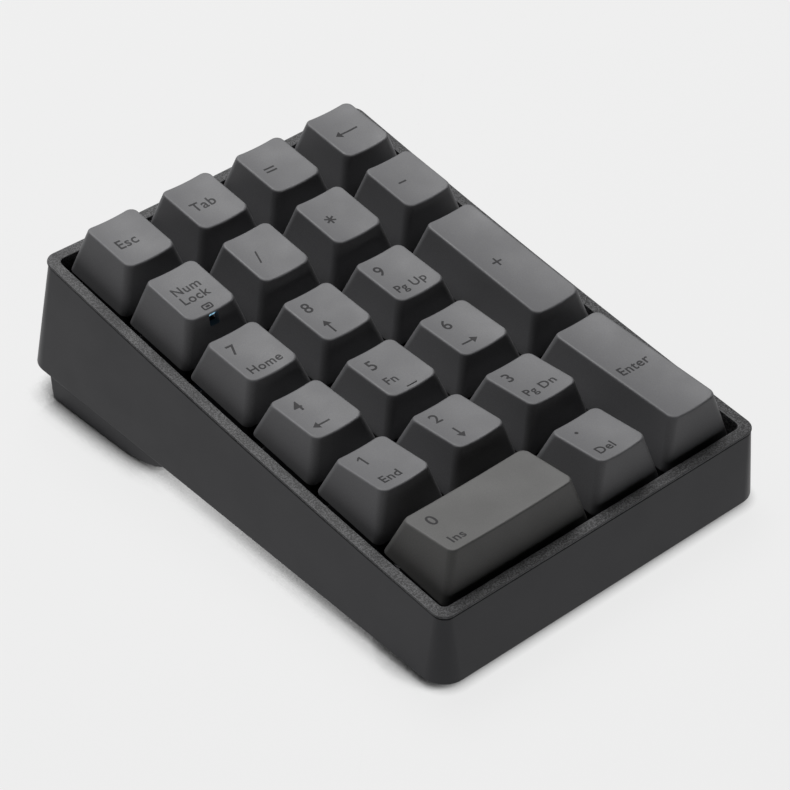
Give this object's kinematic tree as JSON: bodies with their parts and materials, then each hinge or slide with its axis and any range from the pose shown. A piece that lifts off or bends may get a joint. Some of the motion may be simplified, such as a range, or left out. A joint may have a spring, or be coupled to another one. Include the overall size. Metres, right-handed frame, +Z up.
{
  "type": "numeric keypad",
  "caption": "Compact desktop numeric keypad with a tilted wedge case, a framed field of sculpted dished key caps on sprung cross-stem switches and a rear USB socket.",
  "frame": {"origin": "on the table, under the centre of the bounding box", "axes": "+Z up, +Y towards the back of the keypad (away from the user), +X to the user's right"},
  "size_m": [0.0876, 0.1255, 0.0406],
  "materials": {
    "frame_plastic": "fine speckled grain",
    "case_plastic": "smooth satin",
    "foot_rubber": "matte",
    "plate_steel": "brushed",
    "board": "solder mask",
    "screw_steel": "turned",
    "chip_black": "moulded epoxy",
    "socket_steel": "stamped",
    "switch_black": "moulded",
    "spring_steel": "drawn wire",
    "contact_brass": "stamped",
    "led_lens": "clear resin",
    "wire_steel": "drawn wire",
    "stem_plastic": "moulded",
    "cap_grey": "fine matte texture",
    "cap_zero": "fine matte texture"
  },
  "bodies": {
    "case": {"upper_case": "frame_plastic", "lower_case": "case_plastic", "rubber_feet": "foot_rubber", "switch_plate": "plate_steel", "circuit_board": "board", "plate_screws": "screw_steel", "controller_chip": "chip_black", "usb_socket": "socket_steel", "switch_lower_housings": "switch_black", "switch_upper_housings": "switch_black", "switch_springs": "spring_steel", "switch_contacts": "contact_brass", "lock_led": "led_lens", "stabiliser_housings": "switch_black", "stabiliser_wires": "wire_steel"},
    "key_esc": {"keycap_esc": "cap_grey", "stem_esc": "stem_plastic"},
    "key_tab": {"keycap_tab": "cap_grey", "stem_tab": "stem_plastic"},
    "key_equals": {"keycap_equals": "cap_grey", "stem_equals": "stem_plastic"},
    "key_back": {"keycap_back": "cap_grey", "stem_back": "stem_plastic"},
    "key_numlock": {"keycap_numlock": "cap_grey", "stem_numlock": "stem_plastic"},
    "key_divide": {"keycap_divide": "cap_grey", "stem_divide": "stem_plastic"},
    "key_multiply": {"keycap_multiply": "cap_grey", "stem_multiply": "stem_plastic"},
    "key_minus": {"keycap_minus": "cap_grey", "stem_minus": "stem_plastic"},
    "key_7": {"keycap_7": "cap_grey", "stem_7": "stem_plastic"},
    "key_8": {"keycap_8": "cap_grey", "stem_8": "stem_plastic"},
    "key_9": {"keycap_9": "cap_grey", "stem_9": "stem_plastic"},
    "key_plus": {"keycap_plus": "cap_grey", "stem_plus": "stem_plastic", "stabiliser_stems_plus": "stem_plastic"},
    "key_4": {"keycap_4": "cap_grey", "stem_4": "stem_plastic"},
    "key_5": {"keycap_5": "cap_grey", "stem_5": "stem_plastic"},
    "key_6": {"keycap_6": "cap_grey", "stem_6": "stem_plastic"},
    "key_1": {"keycap_1": "cap_grey", "stem_1": "stem_plastic"},
    "key_2": {"keycap_2": "cap_grey", "stem_2": "stem_plastic"},
    "key_3": {"keycap_3": "cap_grey", "stem_3": "stem_plastic"},
    "key_enter": {"keycap_enter": "cap_grey", "stem_enter": "stem_plastic", "stabiliser_stems_enter": "stem_plastic"},
    "key_0": {"keycap_0": "cap_zero", "stem_0": "stem_plastic", "stabiliser_stems_0": "stem_plastic"},
    "key_dot": {"keycap_dot": "cap_grey", "stem_dot": "stem_plastic"}
  },
  "joints": [
    {"name": "press_esc", "type": "slide", "parent": "case", "child": "key_esc", "axis": [0, 0.1347, -0.9909], "range_m": [0, 0.004], "stiffness_N_per_m": 75, "springref_m": -0.004, "deforming": ["switch_springs"]},
    {"name": "press_tab", "type": "slide", "parent": "case", "child": "key_tab", "axis": [0, 0.1347, -0.9909], "range_m": [0, 0.004], "stiffness_N_per_m": 75, "springref_m": -0.004, "deforming": ["switch_springs"]},
    {"name": "press_equals", "type": "slide", "parent": "case", "child": "key_equals", "axis": [0, 0.1347, -0.9909], "range_m": [0, 0.004], "stiffness_N_per_m": 75, "springref_m": -0.004, "deforming": ["switch_springs"]},
    {"name": "press_back", "type": "slide", "parent": "case", "child": "key_back", "axis": [0, 0.1347, -0.9909], "range_m": [0, 0.004], "stiffness_N_per_m": 75, "springref_m": -0.004, "deforming": ["switch_springs"]},
    {"name": "press_numlock", "type": "slide", "parent": "case", "child": "key_numlock", "axis": [0, 0.1347, -0.9909], "range_m": [0, 0.004], "stiffness_N_per_m": 75, "springref_m": -0.004, "deforming": ["switch_springs"]},
    {"name": "press_divide", "type": "slide", "parent": "case", "child": "key_divide", "axis": [0, 0.1347, -0.9909], "range_m": [0, 0.004], "stiffness_N_per_m": 75, "springref_m": -0.004, "deforming": ["switch_springs"]},
    {"name": "press_multiply", "type": "slide", "parent": "case", "child": "key_multiply", "axis": [0, 0.1347, -0.9909], "range_m": [0, 0.004], "stiffness_N_per_m": 75, "springref_m": -0.004, "deforming": ["switch_springs"]},
    {"name": "press_minus", "type": "slide", "parent": "case", "child": "key_minus", "axis": [0, 0.1347, -0.9909], "range_m": [0, 0.004], "stiffness_N_per_m": 75, "springref_m": -0.004, "deforming": ["switch_springs"]},
    {"name": "press_7", "type": "slide", "parent": "case", "child": "key_7", "axis": [0, 0.1347, -0.9909], "range_m": [0, 0.004], "stiffness_N_per_m": 75, "springref_m": -0.004, "deforming": ["switch_springs"]},
    {"name": "press_8", "type": "slide", "parent": "case", "child": "key_8", "axis": [0, 0.1347, -0.9909], "range_m": [0, 0.004], "stiffness_N_per_m": 75, "springref_m": -0.004, "deforming": ["switch_springs"]},
    {"name": "press_9", "type": "slide", "parent": "case", "child": "key_9", "axis": [0, 0.1347, -0.9909], "range_m": [0, 0.004], "stiffness_N_per_m": 75, "springref_m": -0.004, "deforming": ["switch_springs"]},
    {"name": "press_plus", "type": "slide", "parent": "case", "child": "key_plus", "axis": [0, 0.1347, -0.9909], "range_m": [0, 0.004], "stiffness_N_per_m": 75, "springref_m": -0.004, "deforming": ["switch_springs"]},
    {"name": "press_4", "type": "slide", "parent": "case", "child": "key_4", "axis": [0, 0.1347, -0.9909], "range_m": [0, 0.004], "stiffness_N_per_m": 75, "springref_m": -0.004, "deforming": ["switch_springs"]},
    {"name": "press_5", "type": "slide", "parent": "case", "child": "key_5", "axis": [0, 0.1347, -0.9909], "range_m": [0, 0.004], "stiffness_N_per_m": 75, "springref_m": -0.004, "deforming": ["switch_springs"]},
    {"name": "press_6", "type": "slide", "parent": "case", "child": "key_6", "axis": [0, 0.1347, -0.9909], "range_m": [0, 0.004], "stiffness_N_per_m": 75, "springref_m": -0.004, "deforming": ["switch_springs"]},
    {"name": "press_1", "type": "slide", "parent": "case", "child": "key_1", "axis": [0, 0.1347, -0.9909], "range_m": [0, 0.004], "stiffness_N_per_m": 75, "springref_m": -0.004, "deforming": ["switch_springs"]},
    {"name": "press_2", "type": "slide", "parent": "case", "child": "key_2", "axis": [0, 0.1347, -0.9909], "range_m": [0, 0.004], "stiffness_N_per_m": 75, "springref_m": -0.004, "deforming": ["switch_springs"]},
    {"name": "press_3", "type": "slide", "parent": "case", "child": "key_3", "axis": [0, 0.1347, -0.9909], "range_m": [0, 0.004], "stiffness_N_per_m": 75, "springref_m": -0.004, "deforming": ["switch_springs"]},
    {"name": "press_enter", "type": "slide", "parent": "case", "child": "key_enter", "axis": [0, 0.1347, -0.9909], "range_m": [0, 0.004], "stiffness_N_per_m": 75, "springref_m": -0.004, "deforming": ["switch_springs"]},
    {"name": "press_0", "type": "slide", "parent": "case", "child": "key_0", "axis": [0, 0.1347, -0.9909], "range_m": [0, 0.004], "stiffness_N_per_m": 75, "springref_m": -0.004, "deforming": ["switch_springs"]},
    {"name": "press_dot", "type": "slide", "parent": "case", "child": "key_dot", "axis": [0, 0.1347, -0.9909], "range_m": [0, 0.004], "stiffness_N_per_m": 75, "springref_m": -0.004, "deforming": ["switch_springs"]}
  ]
}
